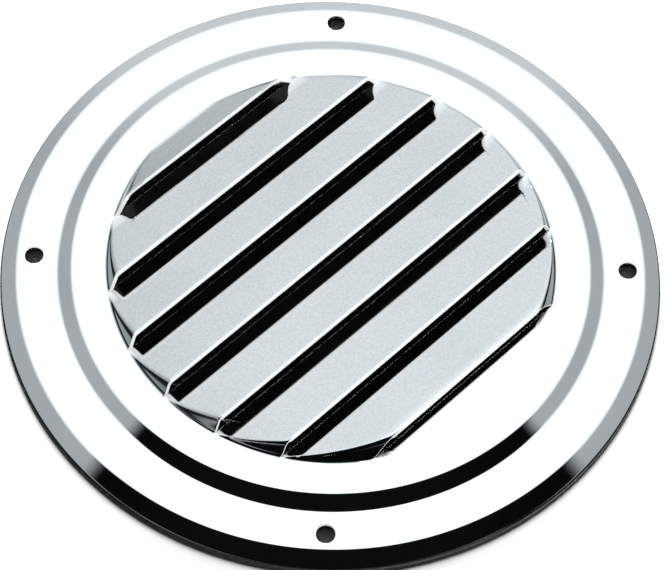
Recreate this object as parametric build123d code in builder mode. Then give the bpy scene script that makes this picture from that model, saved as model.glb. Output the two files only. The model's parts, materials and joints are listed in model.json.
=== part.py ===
from build123d import *

import os
from math import asin, atan, atan2, cos, degrees, radians, sin, sqrt, tan

# Round louvred vent plate for a boat, pressed from stainless sheet, with the
# insect screen, the ring that clamps it and the gasket that go behind it.
# Millimetres. The origin is the centre of the mounting plane, +Z points out of
# the bulkhead, +X runs along the louvres, and the louvres open towards -Y.

# Cover, from its edge inwards
overall_diameter = 127.0
sheet = 0.8
rim_width = 3.4
rim_radius = 4.8
flange_width = 7.3
step_width = 3.3
step_height = 1.1
plateau_margin = 6.2

# Screw holes
screw_count = 4
screw_hole_diameter = 3.6
screw_inset = 6.35
first_screw_angle = 45.0

# Louvres
louvre_pitch = 12.0
louvre_opening = 2.45
last_louvre_opening = 2.65
throat_setback = 0.05
last_throat_overhang = 0.35
root_radius = 12.0
first_root_radius = 3.0
last_lip_radius = 9.0
last_lip_angle = 4.0
end_wall_angle = 56.0
bend_limit = 0.9  # the share of a louvre's room that its two bends may take

# Pieces behind the cover
screen_thickness = 0.56
ring_thickness = 0.8
ring_lap = 0.7
recess_clearance = 0.3
gasket_gap = 0.7
gasket_rim_clearance = 0.3
gasket_hole_clearance = 0.3

# Sizes that follow from the ones above
overall_radius = overall_diameter / 2
rim_start_radius = overall_radius - rim_width
step_foot_radius = rim_start_radius - flange_width
plateau_radius = step_foot_radius - step_width
field_radius = plateau_radius - plateau_margin
screw_circle_radius = overall_radius - screw_inset

rim_angle = degrees(asin(rim_width / rim_radius))
flange_top = rim_radius - (rim_radius - sheet) * cos(radians(rim_angle))
plateau_top = flange_top + step_height
plateau_underside = plateau_top - sheet

step_angle = 2 * degrees(atan(step_height / step_width))
step_radius = step_width / 2 / sin(radians(step_angle))

# The slots are evenly spaced about the centre, and the first louvre, which is
# a segment of the field, is at least half a pitch deep.
slots_each_side = int((field_radius - louvre_pitch / 2) / louvre_pitch)
slot_lines = [louvre_pitch * n for n in range(slots_each_side, -slots_each_side - 1, -1)]


def louvre_curve(root_y, throat_y, opening, root_bend, lip_bend, lip_angle, depth):
    """Side view of one louvre's sheet surface, from its root to its free edge.

    The inner surface ends at the throat, which stands as high above the plateau
    as the opening. depth is 0 for the outer surface and the sheet's thickness
    for the inner one. The surface leaves the plateau in a concave bend, climbs
    straight and ends in a convex lip, which is left out where lip_bend is 0. On
    a short louvre both bends tighten, so that a straight stretch is left.
    """
    run = root_y - throat_y
    rise = opening + sheet
    room = bend_limit * (run**2 + rise**2) / (2 * rise)
    ease = min(1, room / (root_bend + lip_bend))
    root_outer = root_bend * ease
    lip_outer = lip_bend * ease
    inner_lip = max(lip_outer - sheet, 0)
    bends = root_outer + sheet + inner_lip
    across = run + inner_lip * sin(radians(lip_angle))
    down = root_outer + sheet + inner_lip * cos(radians(lip_angle)) - rise
    straight = sqrt(across**2 + down**2 - bends**2)
    slope = degrees(atan2(bends, straight) - atan2(down, across))
    with BuildLine() as curve:
        root = JernArc((root_y, plateau_top - depth), (-1, 0), root_outer + depth, -slope)
        face = Line(root @ 1, root @ 1 + (root % 1) * straight)
        if lip_bend > 0:
            JernArc(face @ 1, face % 1, lip_outer - depth, slope - lip_angle)
    return curve.line


def end_cone(inset):
    """The round field that every louvre ends on, as a cone with the end walls' slope."""
    lean = tan(radians(end_wall_angle))
    base = plateau_top - 2 * sheet
    height = 3 * sheet + 2 * last_louvre_opening
    base_radius = field_radius - inset + 2 * sheet / lean
    with BuildPart() as cone:
        with Locations((0, 0, base)):
            Cone(
                base_radius,
                base_radius - height / lean,
                height,
                align=(Align.CENTER, Align.CENTER, Align.MIN),
            )
    return cone.part


def louvre_prism(curve, other_points, cone):
    """A louvre's section drawn out along X and cut to the round field."""
    with BuildPart() as prism:
        with BuildSketch(Plane.YZ):
            with BuildLine():
                add(curve)
                Polyline(curve @ 1, *other_points, curve @ 0)
            make_face()
        extrude(amount=overall_radius, both=True)
        add(cone, mode=Mode.INTERSECT)
    return prism.part


def louvre(slot_y, root_y, throat_y, opening, root_bend, lip_bend=0.0, lip_angle=0.0):
    """The solid that a louvre adds to the plate, and the hollow and slot to cut from it."""
    shape = (root_y, throat_y, opening, root_bend, lip_bend, lip_angle)
    middle = plateau_top - sheet / 2
    hood = louvre_prism(
        louvre_curve(*shape, 0),
        [(throat_y, plateau_top + opening), (throat_y, middle), (root_y, middle)],
        end_cone(0),
    )
    low = plateau_underside - sheet / 2
    hollow = louvre_prism(
        louvre_curve(*shape, sheet),
        [(throat_y, plateau_top), (slot_y, plateau_top), (slot_y, low), (root_y, low)],
        end_cone(sheet / sin(radians(end_wall_angle))),
    )
    return hood, hollow


def all_louvres():
    """Every louvre in turn, each rooted where the slot before it ends."""
    made = []
    root_y = field_radius
    for slot_y in slot_lines:
        if slot_y == slot_lines[-1]:
            throat_y = slot_y - last_throat_overhang
            lip = (last_lip_radius, last_lip_angle)
            made.append(louvre(slot_y, root_y, throat_y, last_louvre_opening, root_radius, *lip))
        else:
            bend = first_root_radius if slot_y == slot_lines[0] else root_radius
            made.append(louvre(slot_y, root_y, slot_y + throat_setback, louvre_opening, bend))
        root_y = slot_y
    return made


os.makedirs("parts", exist_ok=True)

# Louvred cover: one pressing with a rolled rim, a flat flange, a step up to the
# plateau, the screw holes and the louvres.
louvres = all_louvres()
with BuildPart() as louvred_cover:
    with BuildSketch(Plane.XZ):
        with BuildLine():
            crown = Line((0, plateau_top), (plateau_radius, plateau_top))
            brow = JernArc(crown @ 1, crown % 1, step_radius, -step_angle)
            foot = JernArc(brow @ 1, brow % 1, step_radius, step_angle)
            flange = Line(foot @ 1, (rim_start_radius, flange_top))
            rim = JernArc(flange @ 1, flange % 1, rim_radius, -rim_angle)
            across = Vector(-sin(radians(rim_angle)), -cos(radians(rim_angle)))
            edge = Line(rim @ 1, rim @ 1 + across * sheet)
            rim_back = JernArc(edge @ 1, -(rim % 1), rim_radius - sheet, rim_angle)
            flange_back = Line(rim_back @ 1, (step_foot_radius, flange_top - sheet))
            foot_back = JernArc(flange_back @ 1, (-1, 0), step_radius + sheet, -step_angle)
            brow_back = JernArc(foot_back @ 1, foot_back % 1, step_radius - sheet, step_angle)
            crown_back = Line(brow_back @ 1, (0, plateau_underside))
            Line(crown_back @ 1, crown @ 0)
        make_face()
    revolve(axis=Axis.Z)
    for hood, hollow in louvres:
        add(hood)
    for hood, hollow in louvres:
        add(hollow, mode=Mode.SUBTRACT)
    with PolarLocations(screw_circle_radius, screw_count, start_angle=first_screw_angle):
        Hole(screw_hole_diameter / 2)
louvred_cover.part.label = "louvred_cover"
export_step(louvred_cover.part, "parts/louvred_cover.step")

# Insect screen: a disc of woven mesh against the back of the plateau. The solid
# is the envelope of its crossed wires.
with BuildPart() as insect_screen:
    with BuildSketch(Plane.XY.offset(plateau_underside - screen_thickness)):
        Circle(plateau_radius - recess_clearance)
    extrude(amount=screen_thickness)
insect_screen.part.label = "insect_screen"
export_step(insect_screen.part, "parts/insect_screen.step")

# Retaining ring: a flat ring that clamps the screen's edge to the plateau's back.
with BuildPart() as screen_retaining_ring:
    with BuildSketch(Plane.XY.offset(plateau_underside - screen_thickness - ring_thickness)):
        Circle(plateau_radius - recess_clearance)
        Circle(field_radius + ring_lap, mode=Mode.SUBTRACT)
    extrude(amount=ring_thickness)
screen_retaining_ring.part.label = "screen_retaining_ring"
export_step(screen_retaining_ring.part, "parts/screen_retaining_ring.step")

# Flange gasket: fills the height between the flange and the mounting surface.
with BuildPart() as flange_gasket:
    with BuildSketch():
        Circle(rim_start_radius - gasket_rim_clearance)
        Circle(step_foot_radius + gasket_gap, mode=Mode.SUBTRACT)
        with PolarLocations(screw_circle_radius, screw_count, start_angle=first_screw_angle):
            Circle(screw_hole_diameter / 2 + gasket_hole_clearance, mode=Mode.SUBTRACT)
    extrude(amount=flange_top - sheet)
flange_gasket.part.label = "flange_gasket"
export_step(flange_gasket.part, "parts/flange_gasket.step")
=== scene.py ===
import json
from collections import namedtuple
from math import acos, atan2, cos, hypot, pi, radians, sin, sqrt, tan

import bmesh
import bpy
from bpy.props import FloatProperty, FloatVectorProperty, IntProperty, PointerProperty
from mathutils import Matrix, Vector


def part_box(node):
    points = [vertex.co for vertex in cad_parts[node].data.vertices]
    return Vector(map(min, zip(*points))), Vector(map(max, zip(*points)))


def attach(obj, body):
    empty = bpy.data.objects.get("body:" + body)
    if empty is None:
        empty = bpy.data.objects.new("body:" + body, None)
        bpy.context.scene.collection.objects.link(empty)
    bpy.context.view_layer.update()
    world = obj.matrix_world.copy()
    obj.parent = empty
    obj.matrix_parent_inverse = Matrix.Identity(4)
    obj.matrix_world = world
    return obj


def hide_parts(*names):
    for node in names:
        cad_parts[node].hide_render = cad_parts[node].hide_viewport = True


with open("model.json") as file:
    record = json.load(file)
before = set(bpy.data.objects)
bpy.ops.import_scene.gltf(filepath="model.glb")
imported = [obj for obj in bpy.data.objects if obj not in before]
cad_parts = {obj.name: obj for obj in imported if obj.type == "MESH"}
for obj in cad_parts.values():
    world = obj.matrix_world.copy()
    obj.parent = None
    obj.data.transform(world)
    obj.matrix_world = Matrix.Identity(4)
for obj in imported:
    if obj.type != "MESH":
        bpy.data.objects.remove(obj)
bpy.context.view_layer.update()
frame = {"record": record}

bl_info = {
    "name": "Louvred Vent",
    "version": (1, 0, 0),
    "blender": (4, 5, 0),
    "location": "3D View > Sidebar > Louvred Vent",
    "description": "Builds a round pressed stainless vent with its insect screen, clamp ring and gasket",
    "category": "Add Mesh",
}

MM = 0.001
TURN = 2 * pi

# Flat strips kept beside a bend or an edge, so that the sheet between them shades flat
HOLE_MARGIN = 0.25 * MM
BEND_MARGIN = 0.6 * MM
GASKET_MARGIN = 0.4 * MM

PUNCH_REACH = 1.7  # how far the faces taken out for a hole reach from its centre, in its radii

# Divisions that no size changes
ROUND_STEPS = 360
RING_ROWS = 16
FLAT_ROWS = 4
FLAT_COLUMNS = 72
FIRST_EXTRA_ROWS = 8
FIRST_COLUMNS = 96
FLOOR_SIDES = 96
END_CROWDING = 1.4  # above 1, rows stand closer together beside the first louvre's wall
MIDDLE_COLUMNS = 0.3  # share of a louvre's columns that crosses it between its end zones

# A face is fully satin from this share of its root bend's radius above the plateau
SATIN_RISE = 1 / 25

# Edges that turn by more than these degrees are eased
EASED_TURN = 50

# Distances below which points are one
SKIN_GAP = 0.0001 * MM
WIRE_GAP = 0.0005 * MM
RADIUS_GAP = 0.001 * MM

# Places in the cover's list of finishes, which gives the face, the cut edge and the back, and
# then the same for the sheet beside a punched hole. The back is painted near black as painted
# shade under the hoods, and the cut edge beside a hole is painted dark as the shade inside it
EDGE, BACK, BESIDE_HOLE = 1, 2, 3

# Heights and radii that the frame gives
cover_low, cover_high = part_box("louvred_cover")
screen_low, screen_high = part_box("insect_screen")
ring_low, ring_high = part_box("screen_retaining_ring")
gasket_low, gasket_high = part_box("flange_gasket")
screw_holes = next(m for m in frame["record"]["mounts"] if m["name"] == "screw_holes")
SCREW_COUNT = screw_holes["dims"]["count"]
SCREW_CIRCLE = screw_holes["dims"]["pcd_mm"] / 2 * MM
SCREW_RADIUS = screw_holes["dims"]["hole_r_mm"] * MM
FLANGE_TOP = screw_holes["pos_m"][2]
SHEET = FLANGE_TOP - gasket_high.z
PLATEAU_TOP = screen_high.z + SHEET

# The light tent's strength at so many degrees from its brightest part, and its tint
BRIGHTNESS = [(0, 1.45), (7, 1.36), (17, 1.08), (34, 0.93), (46, 0.74), (55, 0.72), (90, 0.5)]
WIDEST_TURN = 90
TINT = (0.93, 1.0, 1.03)
BACKDROP = (0.93, 0.93, 0.925, 1.0)

# Changes in the tent: each from one value to the next one, and the strength before and after
TOWARDS_THE_SIDES = (0.33, 0.57, 1.0, 0.64)
OUT_TO_THE_FLANKS = (0.68, 0.78, 0.0, 1.0)
UP_THE_FLANKS = (0.36, 0.46, 1.0, 0.0)
BELOW_THE_HORIZON = (-0.12, 0.02, 0.05, 1.0)
INTO_THE_DARK_SIDE = (0.94, 1.06, 1.0, 0.006)
FLANK_SHADE = -0.6
DARK_SIDE_REACH = 1.3
DARK_SIDE_HEIGHT = 1.537
DARK_SIDE_NARROWING = 0.5


def length(name, description, default):
    """A size of the vent, in metres."""
    return FloatProperty(name=name, description=description, default=default, min=0.0,
                         precision=5, subtype="DISTANCE", unit="LENGTH")


def angle(name, description, default):
    """An angle of the vent, given here in degrees."""
    return FloatProperty(name=name, description=description, default=radians(default),
                         subtype="ANGLE", unit="ROTATION")


def amount(name, description, default, highest=10.0):
    """A plain number."""
    return FloatProperty(name=name, description=description, default=default, min=0.0, max=highest)


def count(name, description, default):
    """A whole number of segments or things."""
    return IntProperty(name=name, description=description, default=default, min=1)


def colour(name, description, default):
    """A colour without alpha."""
    return FloatVectorProperty(name=name, description=description, default=default,
                               size=3, min=0.0, max=1.0, subtype="COLOR")


class LOUVREDVENT_PG_cover(bpy.types.PropertyGroup):
    """The pressed cover, from its edge inwards."""

    rim_width: length("Rim width", "Width of the turned-down rim", 3.4 * MM)
    rim_angle: angle("Rim angle", "Slope of the turned-down rim", 22.0)
    hem_bend: length("Hem bend", "Radius where the rim turns down to the bulkhead", 0.45 * MM)
    press_bend: length("Press bend", "Radius of the bends of the rim and the step", 1.7 * MM)
    flange_width: length("Flange width", "Width of the flat flange", 7.3 * MM)
    step_width: length("Step width", "Width of the step up to the plateau", 3.3 * MM)
    plateau_margin: length("Plateau margin", "Plateau between the step and the louvres", 6.2 * MM)
    edge_rounding: length("Edge rounding", "Rounding of the sheared edges", 0.13 * MM)
    bend_steps: count("Bend steps", "Segments in each bend of the section", 7)
    flange_steps: count("Flange steps", "Divisions across the flange", 6)


class LOUVREDVENT_PG_louvres(bpy.types.PropertyGroup):
    """The seven hoods pressed up out of the plateau."""

    pitch: length("Pitch", "Distance from one slot to the next", 12.0 * MM)
    opening: length("Opening", "Height of the throat above the plateau", 2.45 * MM)
    last_opening: length("Last opening", "Height of the last louvre's throat", 2.65 * MM)
    setback: length("Throat setback", "How far each throat stands behind its slot", 0.2 * MM)
    overhang: length("Last overhang", "How far the last throat passes its slot", 0.35 * MM)
    root_bend: length("Root bend", "Radius of the bend where a louvre leaves the plateau", 9.0 * MM)
    first_root_bend: length("First root bend", "Root bend of the first, short louvre", 2.4 * MM)
    nose_bend: length("Nose bend", "Radius that levels each louvre's free edge", 1.0 * MM)
    nose_dip: angle("Nose dip", "How far past level each free edge turns", 4.0)
    last_root_bend: length("Last root bend", "Root bend of the last louvre", 5.0 * MM)
    first_root_inset: length("First root inset", "First root inside the round field", 0.5 * MM)
    lip_bend: length("Lip bend", "Radius of the last louvre's rounded lip", 6.0 * MM)
    lip_angle: angle("Lip angle", "Slope left at the last louvre's free edge", 1.0)
    wall_angle: angle("End wall angle", "Slope of the wall at each end of a louvre", 68.0)
    wall_foot: length("End wall foot", "Radius of the bend at the foot of an end wall", 0.5 * MM)
    crease_sharpness: amount("Crease sharpness", "Higher is a tighter crease over the wall", 6.0, 40.0)
    wall_zone: length("End zone", "Width of the finely divided zone at each end", 3.6 * MM)
    columns: count("Columns", "Divisions along a louvre", 72)
    rows: count("Rows", "Divisions up a louvre", 30)


class LOUVREDVENT_PG_behind(bpy.types.PropertyGroup):
    """The screen, its clamp ring and the gasket."""

    mesh_pitch: length("Mesh pitch", "Distance from wire to wire", 1.6 * MM)
    wire_sides: count("Wire sides", "Sides of a wire's section", 6)
    wire_steps: count("Wire steps", "Segments of a wire from one crossing to the next", 4)
    ring_lap: length("Ring lap", "How far the ring's hole stands outside the louvres", 0.7 * MM)
    ring_rounding: length("Ring rounding", "Rounding of the clamp ring's edges", 0.12 * MM)
    weld_count: count("Spot welds", "Spot welds round the clamp ring", 12)
    weld_radius: length("Weld radius", "Radius of a spot weld's dimple", 1.3 * MM)
    weld_depth: length("Weld depth", "Depth of a spot weld's dimple", 0.14 * MM)
    gasket_gap: length("Gasket gap", "Gap between the gasket and the step", 0.7 * MM)
    gasket_hole_clearance: length("Hole clearance", "Gasket hole outside the screw hole", 0.3 * MM)
    gasket_rounding: length("Gasket rounding", "Rounding of the gasket's cut edges", 0.16 * MM)


class LOUVREDVENT_PG_finishes(bpy.types.PropertyGroup):
    """Colours and gloss."""

    steel: colour("Polished steel", "Colour of the polished stainless", (0.80, 0.81, 0.81))
    steel_worn: colour("Hazed steel", "Colour where the polish is hazed", (0.75, 0.765, 0.765))
    polish: amount("Polish roughness", "Roughness of the polished plateau and flange", 0.02, 1.0)
    satin: amount("Satin roughness", "Roughness added on the louvre faces", 0.012, 1.0)
    edge: colour("Sheared edge", "Colour of the sheared edges", (0.8, 0.81, 0.81))
    # painted shade: the screw holes' edges are painted dark for the shade inside the holes, over the
    # torn steel's own texture
    punched: colour("Punched edge", "Colour of the screw holes' edges", (0.14, 0.15, 0.148))
    # painted shade: the cover's back is painted near black for the shade under the hoods and in the
    # slots
    back: colour("Cover's back", "Colour of the cover's dull back", (0.03, 0.032, 0.032))
    mill: colour("Mill steel", "Colour of the unpolished ring", (0.42, 0.43, 0.43))
    wire: colour("Wire coating", "Colour of the coated wires", (0.008, 0.008, 0.009))
    foam: colour("Gasket foam", "Colour of the gasket", (0.018, 0.018, 0.02))
    floor: colour("Floor", "Colour of the floor", (0.86, 0.86, 0.855))


class LOUVREDVENT_PG_studio(bpy.types.PropertyGroup):
    """Camera and light."""

    azimuth: angle("Azimuth", "Camera's direction round the vent", -46.06)
    elevation: angle("Elevation", "Camera's height above the horizon", 59.554)
    roll: angle("Roll", "Camera's turn about its own axis", 2.401)
    distance: length("Distance", "Camera's distance from its aim", 476.562 * MM)
    aim_right: FloatProperty(name="Aim right", description="Aim, right of the origin",
                             default=0.43 * MM, precision=5, unit="LENGTH")
    aim_up: FloatProperty(name="Aim up", description="Aim, above the origin in the view",
                          default=-2.711 * MM, precision=5, unit="LENGTH")
    aim_height: FloatProperty(name="Aim height", description="Aim along +Z",
                              default=-1.024 * MM, precision=5, unit="LENGTH")
    lens: FloatProperty(name="Lens", description="Focal length in millimetres", default=133.35)
    surround: amount("Surround", "Strength of the surrounding light", 1.0)
    dark_turn: angle("Dark turn", "Turn of the dark side from the camera's side", 6.0)
    ambient: amount("Ambient", "Share of the surround that reaches dull surfaces", 0.05)
    bright_height: angle("Bright height", "Brightest part of the surround, above the horizon", 62.0)
    key_power: amount("Key power", "Power of the soft key light in watts", 50.0, 500.0)
    key_height: angle("Key height", "Key light above the horizon", 28.0)
    fill_power: amount("Fill power", "Power of the fill light in watts", 21.5, 500.0)
    fill_height: angle("Fill height", "Fill light above the horizon", 32.0)
    light_size: length("Light size", "Width of both soft lights", 0.6)
    light_distance: length("Light distance", "Distance of both soft lights", 1.3)
    floor_radius: length("Floor radius", "Radius of the floor", 4.0)


class LOUVREDVENT_PG_vent(bpy.types.PropertyGroup):
    """Everything that can be changed on the vent."""

    cover: PointerProperty(type=LOUVREDVENT_PG_cover)
    louvres: PointerProperty(type=LOUVREDVENT_PG_louvres)
    behind: PointerProperty(type=LOUVREDVENT_PG_behind)
    finishes: PointerProperty(type=LOUVREDVENT_PG_finishes)
    studio: PointerProperty(type=LOUVREDVENT_PG_studio)


Radii = namedtuple("Radii", "rim_start step_foot plateau field")


def cover_radii(cover):
    """Where the rim, the step, the plateau and the louvres' round field begin."""
    rim_start = cover_high.x - cover.rim_width
    step_foot = rim_start - cover.flange_width
    plateau = step_foot - cover.step_width
    return Radii(rim_start, step_foot, plateau, plateau - cover.plateau_margin)


# ---------------------------------------------------------------- mesh helpers

def bend(centre_r, centre_z, radius, first, last, steps, from_start=False):
    """Points of an arc in the section plane, its angles from +Z towards +R.

    The first point is left out where the section already has it.
    """
    start = 0 if from_start else 1
    turns = [first + (last - first) * n / steps for n in range(start, steps + 1)]
    return [(centre_r + radius * sin(a), centre_z + radius * cos(a)) for a in turns]


def drawn_out(bm, edges, section):
    """Extrudes a round of edges through the section's points, each a radius and a height."""
    for r, z in section:
        made = bmesh.ops.extrude_edge_only(bm, edges=edges)["geom"]
        for vert in (g for g in made if isinstance(g, bmesh.types.BMVert)):
            grow = r / hypot(vert.co.x, vert.co.y)
            vert.co = (vert.co.x * grow, vert.co.y * grow, z)
        edges = [g for g in made if isinstance(g, bmesh.types.BMEdge)]
    return edges


def on_radius(vert, radius):
    """Whether a vertex stands on a circle about the Z axis."""
    return abs(hypot(vert.co.x, vert.co.y) - radius) < RADIUS_GAP


def screw_places(z):
    """The centres of the screw holes at a height."""
    turns = [TURN * (n + 0.5) / SCREW_COUNT for n in range(SCREW_COUNT)]
    return [Vector((SCREW_CIRCLE * cos(a), SCREW_CIRCLE * sin(a), z)) for a in turns]


def evenly(low, high, steps):
    """Evenly spaced values from one to the other, both included."""
    return [low + (high - low) * n / steps for n in range(steps + 1)]


def flat_ring(radii, z):
    """A flat skin about the Z axis, with a round of points at each radius."""
    bm = bmesh.new()
    start = [bm.verts.new((r, 0, z)) for r in radii]
    line = [bm.edges.new(pair) for pair in zip(start, start[1:])]
    bmesh.ops.spin(bm, geom=start + line, axis=(0, 0, 1), cent=(0, 0, 0), angle=TURN,
                   steps=ROUND_STEPS, use_merge=True)
    return bm


def punch(bm, centre, radius, inner, outer, material_index=0):
    """Opens a round hole in the flat band between two radii.

    The faces near the hole are taken out, and the edges round them are drawn in to the hole.
    """
    def near(face):
        middle = face.calc_center_median()
        away = abs(middle.xy.angle_signed(centre.xy)) * centre.xy.length
        return inner < hypot(middle.x, middle.y) < outer and away < PUNCH_REACH * radius

    taken = {f for f in bm.faces if near(f)}
    around = [e for f in taken for e in f.edges if not all(n in taken for n in e.link_faces)]
    bmesh.ops.delete(bm, geom=list(taken), context="FACES")
    for reach in (radius + HOLE_MARGIN, radius):
        made = bmesh.ops.extrude_edge_only(bm, edges=around)["geom"]
        for vert in (g for g in made if isinstance(g, bmesh.types.BMVert)):
            vert.co = centre + (vert.co - centre).normalized() * reach
        for face in (g for g in made if isinstance(g, bmesh.types.BMFace)):
            face.material_index = material_index
        around = [g for g in made if isinstance(g, bmesh.types.BMEdge)]


def face_up(bm):
    """Turns an open skin so that its flat faces point up."""
    bmesh.ops.recalc_face_normals(bm, faces=bm.faces)
    flattest = max(bm.faces, key=lambda f: abs(f.normal.z) * f.calc_area())
    if flattest.normal.z < 0:
        bmesh.ops.reverse_faces(bm, faces=bm.faces)


def piece(name, bm, node, slot, *finishes):
    """Makes an object from a bmesh, stands it for its CAD node and rides it on the body."""
    mesh = bpy.data.meshes.new(name)
    bm.to_mesh(mesh)
    bm.free()
    mesh.polygons.foreach_set("use_smooth", [True] * len(mesh.polygons))
    for finish in finishes:
        mesh.materials.append(finish)
    made = bpy.data.objects.new(name, mesh)
    bpy.context.scene.collection.objects.link(made)
    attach(made, "root")
    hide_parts(node)
    return made


def thicken(made, thickness, rounding, edge_material=0, back_material=0):
    """Gives a skin its thickness below it, and rounds the edges that this makes."""
    wall = made.modifiers.new("thickness", "SOLIDIFY")
    wall.thickness = thickness
    wall.offset = -1.0
    wall.use_even_offset = False
    wall.material_offset_rim = edge_material
    wall.material_offset = back_material
    eased = made.modifiers.new("eased_edges", "BEVEL")
    eased.width = rounding
    eased.segments = 2
    eased.limit_method = "ANGLE"
    eased.angle_limit = radians(EASED_TURN)
    eased.use_clamp_overlap = False
    eased.material = edge_material
    weighted = made.modifiers.new("flat_normals", "WEIGHTED_NORMAL")
    weighted.keep_sharp = False


# ------------------------------------------------------------ material helpers

def material(name, **sockets):
    """A new node material and its shader, with constant values on the shader's own sockets."""
    made = bpy.data.materials.new(name)
    made.use_nodes = True
    shader = made.node_tree.nodes["Principled BSDF"]
    for socket, value in sockets.items():
        shader.inputs[socket.replace("_", " ")].default_value = value
    return made, made.node_tree, shader


def add_node(tree, kind, settings=None, **inputs):
    """A node with its settings made and its inputs linked or filled.

    An input is named by its name, or by its place as _0, _1 and so on.
    """
    node = tree.nodes.new("ShaderNode" + kind)
    for key, value in (settings or {}).items():
        setattr(node, key, value)
    for key, value in inputs.items():
        place = int(key[1:]) if key[1:].isdigit() else key.replace("_", " ")
        socket = node.inputs[place]
        if isinstance(value, bpy.types.NodeSocket):
            tree.links.new(value, socket)
        else:
            socket.default_value = value
    return node


def place_on_piece(tree, scale=(1.0, 1.0, 1.0), turn=(0.0, 0.0, 0.0)):
    """Object coordinates in metres, stretched and turned for a pattern."""
    source = add_node(tree, "TexCoord").outputs["Object"]
    return add_node(tree, "Mapping", Vector=source, Scale=scale, Rotation=turn).outputs["Vector"]


def noise(tree, place, scale, detail=3.0, roughness=0.5):
    """Noise of about one feature per 1 / scale metres."""
    return add_node(tree, "TexNoise", Vector=place, Scale=scale, Detail=detail,
                    Roughness=roughness).outputs["Fac"]


def spread(tree, value, low, high, to_low, to_high):
    """A value taken from one range to another and kept inside it."""
    return add_node(tree, "MapRange", Value=value, From_Min=low, From_Max=high,
                    To_Min=to_low, To_Max=to_high).outputs["Result"]


def combined(tree, operation, first, second):
    """Two values or sockets joined by a math operation."""
    return add_node(tree, "Math", {"operation": operation}, _0=first, _1=second).outputs[0]


def blended(tree, share, first, second):
    """A colour between two."""
    node = add_node(tree, "Mix", {"data_type": "RGBA"}, _0=share)
    node.inputs[6].default_value = (*first, 1.0)
    node.inputs[7].default_value = (*second, 1.0)
    return node.outputs[2]


def bumps(tree, height, depth, strength=1.0, under=None):
    """A bump of a depth in metres, over another where given."""
    node = add_node(tree, "Bump", Height=height, Distance=depth, Strength=strength)
    if under is not None:
        tree.links.new(under, node.inputs["Normal"])
    return node.outputs["Normal"]


def polished_stainless(finishes):
    """Bright polished sheet, a little satin on the louvre faces, with hairlines and faint haze."""
    made, tree, shader = material("polished_stainless", Metallic=1.0)
    place = place_on_piece(tree)
    along = place_on_piece(tree, (0.06, 1.0, 1.0))
    across = place_on_piece(tree, (1.0, 0.09, 1.0), (0.0, 0.0, radians(37)))
    haze = noise(tree, place, 55.0, detail=4.0, roughness=0.6)
    hairline = noise(tree, along, 9000.0, detail=2.0, roughness=0.6)
    scuff = noise(tree, across, 5200.0, detail=2.0, roughness=0.55)
    grain = noise(tree, place, 7000.0, detail=2.0, roughness=0.5)
    pull = noise(tree, place, 120.0, detail=1.0, roughness=0.4)
    louvre = add_node(tree, "Attribute", {"attribute_name": "louvre"}).outputs["Fac"]
    speckle = noise(tree, place, 1900.0, detail=3.0, roughness=0.7)
    hazed = spread(tree, haze, 0.4, 0.72, 0.0, 1.0)
    tone = blended(tree, hazed, finishes.steel, finishes.steel_worn)
    mottled = spread(tree, combined(tree, "MULTIPLY", louvre, speckle), 0.36, 0.64, 1.03, 0.9)
    tone = add_node(tree, "VectorMath", {"operation": "SCALE"}, _0=tone, Scale=mottled).outputs[0]
    base = spread(tree, haze, 0.35, 0.75, finishes.polish, finishes.polish * 1.7)
    fine = spread(tree, combined(tree, "MULTIPLY", hairline, scuff), 0.15, 0.45, 0.0, 0.008)
    satin = combined(tree, "MULTIPLY", louvre, finishes.satin)
    rough = combined(tree, "ADD", combined(tree, "ADD", base, fine), satin)
    brushed = bumps(tree, hairline, 0.00025 * MM)
    pebbled = bumps(tree, grain, 0.0003 * MM, under=brushed)
    wavy = bumps(tree, pull, 0.004 * MM, under=pebbled)
    tree.links.new(tone, shader.inputs["Base Color"])
    tree.links.new(rough, shader.inputs["Roughness"])
    tree.links.new(wavy, shader.inputs["Normal"])
    return made


def cut_edge(name, tone, metallic):
    """The finely torn edge that the shear or the punch leaves."""
    made, tree, shader = material(name, Metallic=metallic, Specular_IOR_Level=0.3)
    place = place_on_piece(tree, (1.0, 1.0, 0.2))
    torn = noise(tree, place, 4200.0, detail=3.0, roughness=0.6)
    darker = tuple(0.93 * c for c in tone)
    tree.links.new(blended(tree, torn, tone, darker), shader.inputs["Base Color"])
    tree.links.new(spread(tree, torn, 0.3, 0.7, 0.26, 0.42), shader.inputs["Roughness"])
    tree.links.new(bumps(tree, torn, 0.02 * MM), shader.inputs["Normal"])
    return made


def dull_back(finishes):
    """The cover's back, painted near black as painted shade under the hoods and inside the vent, dull
    and unevenly mottled.
    """
    made, tree, shader = material("dull_back", Specular_IOR_Level=0.1)
    back_mottle = noise(tree, place_on_piece(tree), 240.0, detail=4.0, roughness=0.6)
    lighter_shade = tuple(1.5 * c for c in finishes.back)
    tree.links.new(blended(tree, spread(tree, back_mottle, 0.4, 0.7, 0.0, 1.0), finishes.back, lighter_shade),
                   shader.inputs["Base Color"])
    tree.links.new(spread(tree, back_mottle, 0.3, 0.7, 0.6, 0.8), shader.inputs["Roughness"])
    tree.links.new(bumps(tree, back_mottle, 0.01 * MM), shader.inputs["Normal"])
    return made


def mill_stainless(finishes):
    """Unpolished cold-rolled sheet with its rolling grain."""
    made, tree, shader = material("mill_stainless", Metallic=1.0)
    along = place_on_piece(tree, (1.0, 0.04, 1.0))
    grain = noise(tree, along, 6000.0, detail=3.0, roughness=0.6)
    stain = noise(tree, place_on_piece(tree), 90.0, detail=4.0, roughness=0.6)
    darker = tuple(0.8 * c for c in finishes.mill)
    tree.links.new(blended(tree, spread(tree, stain, 0.35, 0.7, 0.0, 1.0), finishes.mill, darker),
                   shader.inputs["Base Color"])
    tree.links.new(spread(tree, grain, 0.3, 0.7, 0.28, 0.42), shader.inputs["Roughness"])
    tree.links.new(bumps(tree, grain, 0.004 * MM), shader.inputs["Normal"])
    return made


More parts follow.
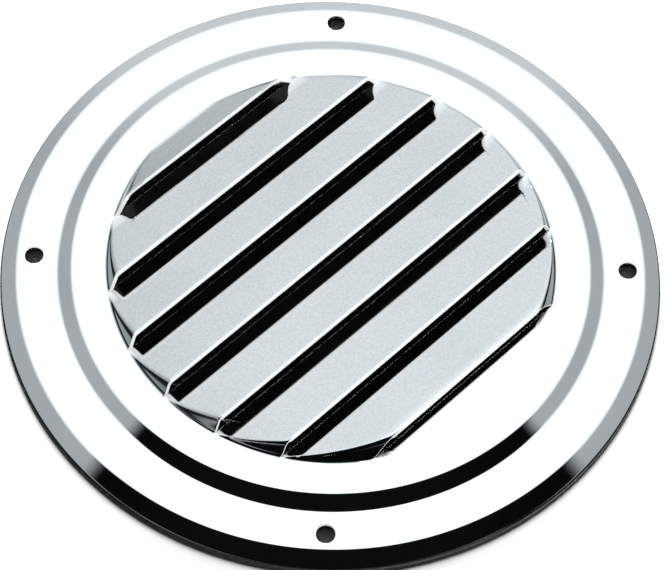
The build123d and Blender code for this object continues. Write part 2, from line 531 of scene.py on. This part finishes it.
def coated_wire(finishes):
    """Black vinyl-coated wire, with small runs and dust."""
    made, tree, shader = material("coated_wire", Specular_IOR_Level=0.2)
    place = place_on_piece(tree)
    runs = noise(tree, place, 2600.0, detail=3.0, roughness=0.6)
    dust = noise(tree, place, 420.0, detail=5.0, roughness=0.7)
    dusty = tuple(c + 0.006 for c in finishes.wire)
    tree.links.new(blended(tree, spread(tree, dust, 0.55, 0.8, 0.0, 0.6), finishes.wire, dusty),
                   shader.inputs["Base Color"])
    tree.links.new(spread(tree, dust, 0.3, 0.7, 0.42, 0.62), shader.inputs["Roughness"])
    tree.links.new(bumps(tree, runs, 0.02 * MM), shader.inputs["Normal"])
    return made


def foam_rubber(finishes):
    """Closed-cell foam rubber with cut cells."""
    made, tree, shader = material("foam_rubber")
    place = place_on_piece(tree)
    cells = add_node(tree, "TexVoronoi", {"feature": "SMOOTH_F1"}, Vector=place, Scale=4200.0,
                     Smoothness=0.4).outputs["Distance"]
    bloom = noise(tree, place, 160.0, detail=4.0, roughness=0.6)
    bloomed = tuple(c + 0.02 for c in finishes.foam)
    tree.links.new(blended(tree, spread(tree, bloom, 0.45, 0.75, 0.0, 1.0), finishes.foam, bloomed),
                   shader.inputs["Base Color"])
    tree.links.new(spread(tree, cells, 0.0, 0.8, 0.7, 0.92), shader.inputs["Roughness"])
    tree.links.new(bumps(tree, cells, 0.06 * MM), shader.inputs["Normal"])
    return made


# --------------------------------------------------------------------- louvres

Louvre = namedtuple("Louvre", "slot_y root_y root_bend slope straight lip_bend lip_slope edge_run")


def louvre_shape(slot_y, root_y, throat_y, opening, root_bend, lip_bend=0.0, lip_slope=0.0):
    """Works out a louvre's outer side view: a root bend, a straight climb and perhaps a lip.

    The inner surface has to end at the throat, as high above the plateau as the opening.
    """
    inner_lip = max(lip_bend - SHEET, 0.0)
    bends = root_bend + SHEET + inner_lip
    across = root_y - throat_y + inner_lip * sin(lip_slope)
    down = root_bend + inner_lip * cos(lip_slope) - opening
    straight = sqrt(across**2 + down**2 - bends**2)
    slope = atan2(bends, straight) - atan2(down, across)
    edge_run = root_bend * sin(slope) + straight * cos(slope)
    if lip_bend:
        edge_run += lip_bend * (sin(slope) - sin(lip_slope))
    return Louvre(slot_y, root_y, root_bend, slope, straight, lip_bend, lip_slope, edge_run)


def climb(louvre, run):
    """Height of a louvre's face above the plateau at a distance from its root."""
    bend_run = louvre.root_bend * sin(louvre.slope)
    if run <= bend_run:
        return louvre.root_bend - sqrt(louvre.root_bend**2 - max(run, 0.0)**2)
    straight_run = louvre.straight * cos(louvre.slope)
    past = min(run - bend_run, straight_run)
    height = louvre.root_bend * (1 - cos(louvre.slope)) + past * tan(louvre.slope)
    if louvre.lip_bend and run > bend_run + straight_run:
        from_top = louvre.lip_bend * sin(louvre.slope) - (run - bend_run - straight_run)
        height += sqrt(louvre.lip_bend**2 - from_top**2) - louvre.lip_bend * cos(louvre.slope)
    return height


def wall_height(sizes, inset):
    """Height of the end wall at a distance inside the round field."""
    foot = sizes.wall_foot
    bent = foot * sin(sizes.wall_angle)
    if inset <= bent:
        return foot - sqrt(foot**2 - max(inset, 0.0)**2)
    return foot * (1 - cos(sizes.wall_angle)) + (inset - bent) * tan(sizes.wall_angle)


def under_both(face, wall, sharpness):
    """A height that follows the lower of two and rounds the crease between them."""
    if face <= 0.0 or wall <= 0.0:
        return 0.0
    low, high = min(face, wall), max(face, wall)
    return low * (1.0 + (low / high)**sharpness)**(-1.0 / sharpness)


def all_louvres(sizes, field_radius):
    """The louvres in turn, each rooted where the slot before it ends."""
    each_side = int((field_radius - sizes.pitch / 2) / sizes.pitch)
    slots = [sizes.pitch * n for n in range(each_side, -each_side - 1, -1)]
    made = []
    root_y = field_radius - sizes.first_root_inset
    for slot_y in slots:
        if slot_y == slots[-1]:
            made.append(louvre_shape(slot_y, root_y, slot_y - sizes.overhang, sizes.last_opening,
                                     sizes.last_root_bend, sizes.lip_bend, sizes.lip_angle))
        else:
            root_bend = sizes.first_root_bend if slot_y == slots[0] else sizes.root_bend
            made.append(louvre_shape(slot_y, root_y, slot_y + sizes.setback, sizes.opening,
                                     root_bend, sizes.nose_bend, -sizes.nose_dip))
        root_y = slot_y
    return made


def free_edge_y(louvre, sizes, inset):
    """Where the free edge stands, which falls back to the slot's tip as the wall runs out."""
    full = climb(louvre, louvre.edge_run)
    share = under_both(full, wall_height(sizes, inset), sizes.crease_sharpness) / full
    return louvre.slot_y + (louvre.root_y - louvre.edge_run - louvre.slot_y) * share


def raise_louvre(vert, louvre, sizes, field_radius, x, y, layer):
    """Puts a vertex at its place on a louvre, and marks how much of the face it is."""
    face = climb(louvre, louvre.root_y - y)
    wall = wall_height(sizes, field_radius - hypot(x, y))
    height = under_both(face, wall, sizes.crease_sharpness)
    vert.co = (x, y, PLATEAU_TOP + height)
    vert[layer] = min(1.0, height / (louvre.root_bend * SATIN_RISE)) if wall > face else 0.0


def louvre_strip(bm, louvre, sizes, field_radius, layer):
    """A louvre across the field. Its columns follow circles near its ends."""
    inner = field_radius - sizes.wall_zone
    grid = bmesh.ops.create_grid(bm, x_segments=sizes.columns, y_segments=sizes.rows, size=1.0)
    for vert in grid["verts"]:
        u, v = vert.co.x, (vert.co.y + 1) / 2
        radius = inner
        share = u / MIDDLE_COLUMNS
        if abs(u) > MIDDLE_COLUMNS:
            radius += sizes.wall_zone * (abs(u) - MIDDLE_COLUMNS) / (1 - MIDDLE_COLUMNS)
            share = 1.0 if u > 0 else -1.0
        edge_y = free_edge_y(louvre, sizes, field_radius - radius)
        y = edge_y + v * (louvre.root_y - edge_y)
        x = share * sqrt(radius**2 - y**2)
        raise_louvre(vert, louvre, sizes, field_radius, x, y, layer)


def end_segment(bm, slot_y, field_radius, rows, columns, place):
    """The part of the round field outside a slot, its columns on rays from the centre."""
    side = 1 if slot_y > 0 else -1
    widest = acos(abs(slot_y) / field_radius)
    grid = bmesh.ops.create_grid(bm, x_segments=columns, y_segments=rows, size=1.0)
    for vert in grid["verts"]:
        turn = widest * vert.co.x
        share = (1 - side * vert.co.y) / 2
        place(vert, turn, share)


def first_louvre(bm, louvre, sizes, field_radius, layer):
    """The louvre that is a segment of the field, finest beside its wall."""
    def place(vert, turn, share):
        inward = share**END_CROWDING
        chord = louvre.slot_y / cos(turn)
        radius = field_radius + (chord - field_radius) * inward
        edge_y = free_edge_y(louvre, sizes, field_radius - radius)
        lift = (edge_y - louvre.slot_y) * inward
        x = radius * sin(turn)
        y = radius * cos(turn) + lift
        raise_louvre(vert, louvre, sizes, field_radius, x, y, layer)

    rows = sizes.rows + FIRST_EXTRA_ROWS
    end_segment(bm, louvre.slot_y, field_radius, rows, FIRST_COLUMNS, place)


def flat_segment(bm, slot_y, field_radius):
    """The flat part of the field below the last slot."""
    def place(vert, turn, share):
        chord = -slot_y / cos(turn)
        radius = field_radius + (chord - field_radius) * share
        vert.co = (radius * sin(turn), -radius * cos(turn), PLATEAU_TOP)

    end_segment(bm, slot_y, field_radius, FLAT_ROWS, FLAT_COLUMNS, place)


def flange_band(radii, divisions):
    """The radii of the flange's even divisions."""
    return evenly(radii.step_foot + BEND_MARGIN, radii.rim_start - BEND_MARGIN, divisions)


def cover_section(cover, radii):
    """The cover's outer surface from the louvres' field out, as radii and heights."""
    press, hem, steps = cover.press_bend, cover.hem_bend, cover.bend_steps
    down = 2 * press - (PLATEAU_TOP - FLANGE_TOP)
    straight = sqrt(cover.step_width**2 + down**2 - 4 * press**2)
    step_angle = atan2(2 * press, straight) - atan2(down, cover.step_width)

    section = [(radii.field + BEND_MARGIN, PLATEAU_TOP),
               (radii.plateau - BEND_MARGIN, PLATEAU_TOP),
               (radii.plateau, PLATEAU_TOP)]
    section += bend(radii.plateau, PLATEAU_TOP - press, press, 0, step_angle, steps)
    section += bend(radii.step_foot, FLANGE_TOP + press, -press, step_angle, 0, steps,
                    from_start=True)
    section += [(r, FLANGE_TOP) for r in flange_band(radii, cover.flange_steps)]
    section += [(radii.rim_start, FLANGE_TOP)]
    section += bend(radii.rim_start, FLANGE_TOP - press, press, 0, cover.rim_angle, steps)

    # The hem's bend starts where the straight slope of the rim meets it.
    hem_r = cover_high.x - hem
    rim_r, rim_z = section[-1]
    hem_z = rim_z - (hem_r + hem * sin(cover.rim_angle) - rim_r) * tan(cover.rim_angle)
    hem_z -= hem * cos(cover.rim_angle)
    section += bend(hem_r, hem_z, hem, cover.rim_angle, pi / 2, 2 * steps, from_start=True)
    return section + [(cover_high.x, cover_low.z)]


class LOUVREDVENT_OT_cover(bpy.types.Operator):
    """Presses the stainless cover with its louvres, step, flange and turned-down rim"""

    bl_idname = "louvredvent.cover"
    bl_label = "Pressed Cover"
    bl_options = {"REGISTER", "UNDO"}

    def execute(self, context):
        vent = context.scene.louvred_vent
        cover, sizes, finishes = vent.cover, vent.louvres, vent.finishes
        radii = cover_radii(cover)

        bm = bmesh.new()
        layer = bm.verts.layers.float.new("louvre")
        louvres = all_louvres(sizes, radii.field)
        first_louvre(bm, louvres[0], sizes, radii.field, layer)
        for louvre in louvres[1:]:
            louvre_strip(bm, louvre, sizes, radii.field, layer)
        flat_segment(bm, louvres[-1].slot_y, radii.field)
        bmesh.ops.remove_doubles(bm, verts=bm.verts, dist=SKIN_GAP)

        field_edge = [e for e in bm.edges if e.is_boundary
                      and all(on_radius(v, radii.field) for v in e.verts)]
        drawn_out(bm, field_edge, cover_section(cover, radii))
        band = flange_band(radii, cover.flange_steps)
        for centre in screw_places(FLANGE_TOP):
            punch(bm, centre, SCREW_RADIUS, band[0], band[-1], BESIDE_HOLE)
        face_up(bm)

        # The back is painted near black, as painted shade under the hoods
        polish, back = polished_stainless(finishes), dull_back(finishes)
        # The punched edge's dark tone is painted shade inside the screw holes
        made = piece("pressed_cover", bm, "louvred_cover", "polished_stainless",
                     polish, cut_edge("sheared_edge", finishes.edge, 0.0), back,
                     polish, cut_edge("punched_edge", finishes.punched, 1.0), back)
        thicken(made, SHEET, cover.edge_rounding, edge_material=EDGE, back_material=BACK)
        return {"FINISHED"}


# ------------------------------------------------------------ behind the cover

class LOUVREDVENT_OT_screen(bpy.types.Operator):
    """Weaves the insect screen from two sets of coated wires"""

    bl_idname = "louvredvent.screen"
    bl_label = "Insect Screen"
    bl_options = {"REGISTER", "UNDO"}

    def execute(self, context):
        vent = context.scene.louvred_vent
        sizes = vent.behind
        finish = coated_wire(vent.finishes)
        self.weave("screen_warp", sizes, finish, along_x=True)
        self.weave("screen_weft", sizes, finish, along_x=False)
        return {"FINISHED"}

    def weave(self, name, sizes, finish, along_x):
        """One set of parallel wires, each waving over and under the other set.

        Two wires cross in the mesh's thickness, so a quarter of it is a wire's radius.
        """
        reach = screen_high.x
        wire = (screen_high.z - screen_low.z) / 4
        middle = (screen_high.z + screen_low.z) / 2
        rows = int(reach / sizes.mesh_pitch)
        bm = bmesh.new()
        for row in range(-rows, rows + 1):
            offset = row * sizes.mesh_pitch
            half = sqrt(reach**2 - offset**2) - wire
            if half < sizes.mesh_pitch:
                continue
            steps = int(2 * half / sizes.mesh_pitch * sizes.wire_steps)
            phase = (row % 2) * pi + (0 if along_x else pi)
            tube = bmesh.ops.create_grid(bm, x_segments=steps, y_segments=sizes.wire_sides,
                                         size=1.0)
            for vert in tube["verts"]:
                along = vert.co.x * half
                turn = (vert.co.y + 1) * pi
                wave = wire * cos(along / sizes.mesh_pitch * pi + phase)
                aside = offset + wire * sin(turn)
                height = middle + wave + wire * cos(turn)
                vert.co = (along, aside, height) if along_x else (aside, along, height)
        bmesh.ops.remove_doubles(bm, verts=bm.verts, dist=WIRE_GAP)
        ends = [e for e in bm.edges if e.is_boundary]
        bmesh.ops.holes_fill(bm, edges=ends, sides=sizes.wire_sides)
        bmesh.ops.recalc_face_normals(bm, faces=bm.faces)
        piece(name, bm, "insect_screen", "coated_mesh", finish)


class LOUVREDVENT_OT_clamp_ring(bpy.types.Operator):
    """Makes the flat ring that clamps the screen's edge, with its spot welds"""

    bl_idname = "louvredvent.clamp_ring"
    bl_label = "Clamp Ring"
    bl_options = {"REGISTER", "UNDO"}

    def execute(self, context):
        vent = context.scene.louvred_vent
        sizes = vent.behind
        inner = cover_radii(vent.cover).field + sizes.ring_lap
        outer = ring_high.x
        bm = flat_ring(evenly(inner, outer, RING_ROWS), ring_low.z)
        welds = [TURN * n / sizes.weld_count for n in range(sizes.weld_count)]
        middle = (inner + outer) / 2
        for vert in bm.verts:
            gap = min(hypot(vert.co.x - middle * cos(a), vert.co.y - middle * sin(a))
                      for a in welds)
            if gap < sizes.weld_radius:
                vert.co.z += sizes.weld_depth * (1 + cos(pi * gap / sizes.weld_radius)) / 2
        bmesh.ops.recalc_face_normals(bm, faces=bm.faces)
        if bm.faces[:][0].normal.z > 0:
            bmesh.ops.reverse_faces(bm, faces=bm.faces)
        made = piece("clamp_ring", bm, "screen_retaining_ring", "plain_stainless",
                     mill_stainless(vent.finishes))
        thicken(made, ring_high.z - ring_low.z, sizes.ring_rounding)
        return {"FINISHED"}


class LOUVREDVENT_OT_gasket(bpy.types.Operator):
    """Cuts the foam gasket that fills the flange, with its screw holes"""

    bl_idname = "louvredvent.gasket"
    bl_label = "Flange Gasket"
    bl_options = {"REGISTER", "UNDO"}

    def execute(self, context):
        vent = context.scene.louvred_vent
        cover, sizes = vent.cover, vent.behind
        inner = cover_radii(cover).step_foot + sizes.gasket_gap
        outer = gasket_high.x
        band = evenly(inner + GASKET_MARGIN, outer - GASKET_MARGIN, cover.flange_steps)
        bm = flat_ring([inner, *band, outer], gasket_high.z)
        for centre in screw_places(gasket_high.z):
            punch(bm, centre, SCREW_RADIUS + sizes.gasket_hole_clearance, band[0], band[-1])
        face_up(bm)
        made = piece("foam_gasket", bm, "flange_gasket", "black_gasket",
                     foam_rubber(vent.finishes))
        thicken(made, gasket_high.z - gasket_low.z, sizes.gasket_rounding)
        return {"FINISHED"}


# ----------------------------------------------------------------------- stage

def view_axes(azimuth, elevation):
    """The directions from the vent to the camera, and the camera's right and up."""
    back = Vector((sin(azimuth) * cos(elevation), -cos(azimuth) * cos(elevation), sin(elevation)))
    right = Vector((cos(azimuth), sin(azimuth), 0))
    return back, right, back.cross(right)


def make_surround(scene, studio):
    """A light tent that is bright beyond the vent and dark above and behind the camera.

    Dull surfaces get only a share of it, and the camera sees a plain backdrop in its place.
    """
    world = bpy.data.worlds.new("studio_surround")
    scene.world = world
    world.use_nodes = True
    tree = world.node_tree
    tree.nodes.clear()
    towards = Vector((sin(studio.azimuth), -cos(studio.azimuth), 0))
    aside = Vector((cos(studio.azimuth), sin(studio.azimuth), 0))
    overhead = Vector((0, 0, 1))
    dark_side = Matrix.Rotation(studio.dark_turn, 3, "Z") @ towards
    brightest = -towards * cos(studio.bright_height) + overhead * sin(studio.bright_height)
    source = add_node(tree, "TexCoord").outputs["Generated"]
    way = add_node(tree, "VectorMath", {"operation": "NORMALIZE"}, _0=source).outputs[0]

    def facing(axis):
        return add_node(tree, "VectorMath", {"operation": "DOT_PRODUCT"}, _0=way,
                        _1=tuple(axis)).outputs["Value"]

    def eased(value, low, high, before, after):
        return add_node(tree, "MapRange", {"interpolation_type": "SMOOTHSTEP"}, Value=value,
                        From_Min=low, From_Max=high, To_Min=before,
                        To_Max=after).outputs["Result"]

    def times(first, second):
        return combined(tree, "MULTIPLY", first, second)

    apart = combined(tree, "ARCCOSINE", facing(brightest), 0.0)
    share = spread(tree, apart, 0.0, radians(WIDEST_TURN), 0.0, 1.0)
    ramp = add_node(tree, "ValToRGB", Fac=share)
    stops = ramp.color_ramp.elements
    while len(stops) < len(BRIGHTNESS):
        stops.new(0.5)
    for stop, (turn, level) in zip(stops, BRIGHTNESS):
        stop.position = turn / WIDEST_TURN
        stop.color = (*(level * tint for tint in TINT), 1.0)

    sideways = combined(tree, "ABSOLUTE", facing(aside), 0.0)
    flanks = times(eased(sideways, *OUT_TO_THE_FLANKS), eased(facing(overhead), *UP_THE_FLANKS))
    sides = combined(tree, "ADD", eased(sideways, *TOWARDS_THE_SIDES), times(flanks, FLANK_SHADE))
    below = eased(facing(overhead), *BELOW_THE_HORIZON)
    screen_way = dark_side * DARK_SIDE_REACH + overhead * DARK_SIDE_HEIGHT
    behind = combined(tree, "SUBTRACT", facing(screen_way), times(sideways, DARK_SIDE_NARROWING))
    screened = eased(behind, *INTO_THE_DARK_SIDE)

    rays = add_node(tree, "LightPath")
    dulled = spread(tree, rays.outputs["Is Diffuse Ray"], 0.0, 1.0, 1.0, studio.ambient)
    strength = times(times(times(times(sides, below), screened), studio.surround), dulled)
    seen = add_node(tree, "Background", Color=ramp.outputs["Color"], Strength=strength)
    backdrop = add_node(tree, "Background", Color=BACKDROP, Strength=1.0)
    mixed = add_node(tree, "MixShader", _0=rays.outputs["Is Camera Ray"], _1=seen.outputs[0],
                     _2=backdrop.outputs[0])
    add_node(tree, "OutputWorld", Surface=mixed.outputs[0])


def make_floor(scene, studio, finishes):
    """A plain pale floor under the vent."""
    bm = bmesh.new()
    bmesh.ops.create_circle(bm, cap_ends=True, radius=studio.floor_radius,
                            segments=FLOOR_SIDES)
    mesh = bpy.data.meshes.new("floor")
    bm.to_mesh(mesh)
    bm.free()
    floor = bpy.data.objects.new("floor", mesh)
    scene.collection.objects.link(floor)
    made, tree, shader = material("pale_floor", Roughness=0.9)
    tone = noise(tree, place_on_piece(tree), 6.0, detail=2.0, roughness=0.5)
    paler = tuple(min(1.0, 1.01 * c) for c in finishes.floor)
    tree.links.new(blended(tree, tone, finishes.floor, paler), shader.inputs["Base Color"])
    mesh.materials.append(made)
    floor.visible_glossy = False


def soft_light(scene, name, azimuth, height, studio, power):
    """A wide soft light aimed at the vent, too soft to show in the polish."""
    data = bpy.data.lights.new(name, "AREA")
    data.shape = "DISK"
    data.size = studio.light_size
    data.energy = power
    back, _, _ = view_axes(azimuth, height)
    lamp = bpy.data.objects.new(name, data)
    lamp.matrix_world = (Matrix.Translation(back * studio.light_distance)
                         @ back.to_track_quat("Z", "Y").to_matrix().to_4x4())
    lamp.visible_glossy = False
    lamp.visible_camera = False
    scene.collection.objects.link(lamp)
    return lamp


def make_camera(scene, studio):
    """The camera, aimed near the vent's centre."""
    back, right, up = view_axes(studio.azimuth, studio.elevation)
    data = bpy.data.cameras.new("camera")
    data.lens = studio.lens
    data.sensor_width = 36.0
    data.clip_start = 0.01
    camera = bpy.data.objects.new("camera", data)
    turned_right = right * cos(studio.roll) + up * sin(studio.roll)
    turned_up = up * cos(studio.roll) - right * sin(studio.roll)
    place = (back * studio.distance + right * studio.aim_right + up * studio.aim_up
             + Vector((0, 0, studio.aim_height)))
    axes = Matrix((turned_right, turned_up, back)).transposed().to_4x4()
    camera.matrix_world = Matrix.Translation(place) @ axes
    scene.collection.objects.link(camera)
    scene.camera = camera


class LOUVREDVENT_OT_studio(bpy.types.Operator):
    """Sets the pale floor, the soft light and the camera"""

    bl_idname = "louvredvent.studio"
    bl_label = "Studio"
    bl_options = {"REGISTER", "UNDO"}

    def execute(self, context):
        scene = context.scene
        studio, finishes = scene.louvred_vent.studio, scene.louvred_vent.finishes
        make_surround(scene, studio)
        make_floor(scene, studio, finishes)
        soft_light(scene, "key", studio.azimuth + pi, studio.key_height, studio, studio.key_power)
        fill = soft_light(scene, "fill", 0.0, studio.fill_height, studio, studio.fill_power)
        lit = bpy.data.collections.new("lit_by_fill")
        lit.objects.link(bpy.data.objects["pressed_cover"])
        fill.light_linking.receiver_collection = lit
        make_camera(scene, studio)
        scene.view_settings.view_transform = "Standard"
        return {"FINISHED"}


class LOUVREDVENT_PT_parts(bpy.types.Panel):
    """Lists the vent's pieces"""

    bl_idname = "LOUVREDVENT_PT_parts"
    bl_label = "Louvred Vent"
    bl_space_type = "VIEW_3D"
    bl_region_type = "UI"
    bl_category = "Louvred Vent"

    def draw(self, context):
        vent = context.scene.louvred_vent
        for made in BUILD_ORDER:
            self.layout.operator(made.bl_idname)
        for name in ("cover", "louvres", "behind", "finishes", "studio"):
            group = getattr(vent, name)
            box = self.layout.box()
            box.label(text=name.capitalize())
            for key in group.__annotations__:
                box.prop(group, key)


BUILD_ORDER = (
    LOUVREDVENT_OT_cover,
    LOUVREDVENT_OT_screen,
    LOUVREDVENT_OT_clamp_ring,
    LOUVREDVENT_OT_gasket,
    LOUVREDVENT_OT_studio,
)
CLASSES = (
    LOUVREDVENT_PG_cover,
    LOUVREDVENT_PG_louvres,
    LOUVREDVENT_PG_behind,
    LOUVREDVENT_PG_finishes,
    LOUVREDVENT_PG_studio,
    LOUVREDVENT_PG_vent,
    *BUILD_ORDER,
    LOUVREDVENT_PT_parts,
)


def register():
    """Adds the classes and the scene's settings."""
    for made in CLASSES:
        bpy.utils.register_class(made)
    bpy.types.Scene.louvred_vent = PointerProperty(type=LOUVREDVENT_PG_vent)


def unregister():
    """Takes them away again."""
    del bpy.types.Scene.louvred_vent
    for made in reversed(CLASSES):
        bpy.utils.unregister_class(made)


def main():
    """Builds the vent and its stage."""
    register()
    bpy.ops.louvredvent.cover()
    bpy.ops.louvredvent.screen()
    bpy.ops.louvredvent.clamp_ring()
    bpy.ops.louvredvent.gasket()
    bpy.ops.louvredvent.studio()


if __name__ == "__main__":
    main()
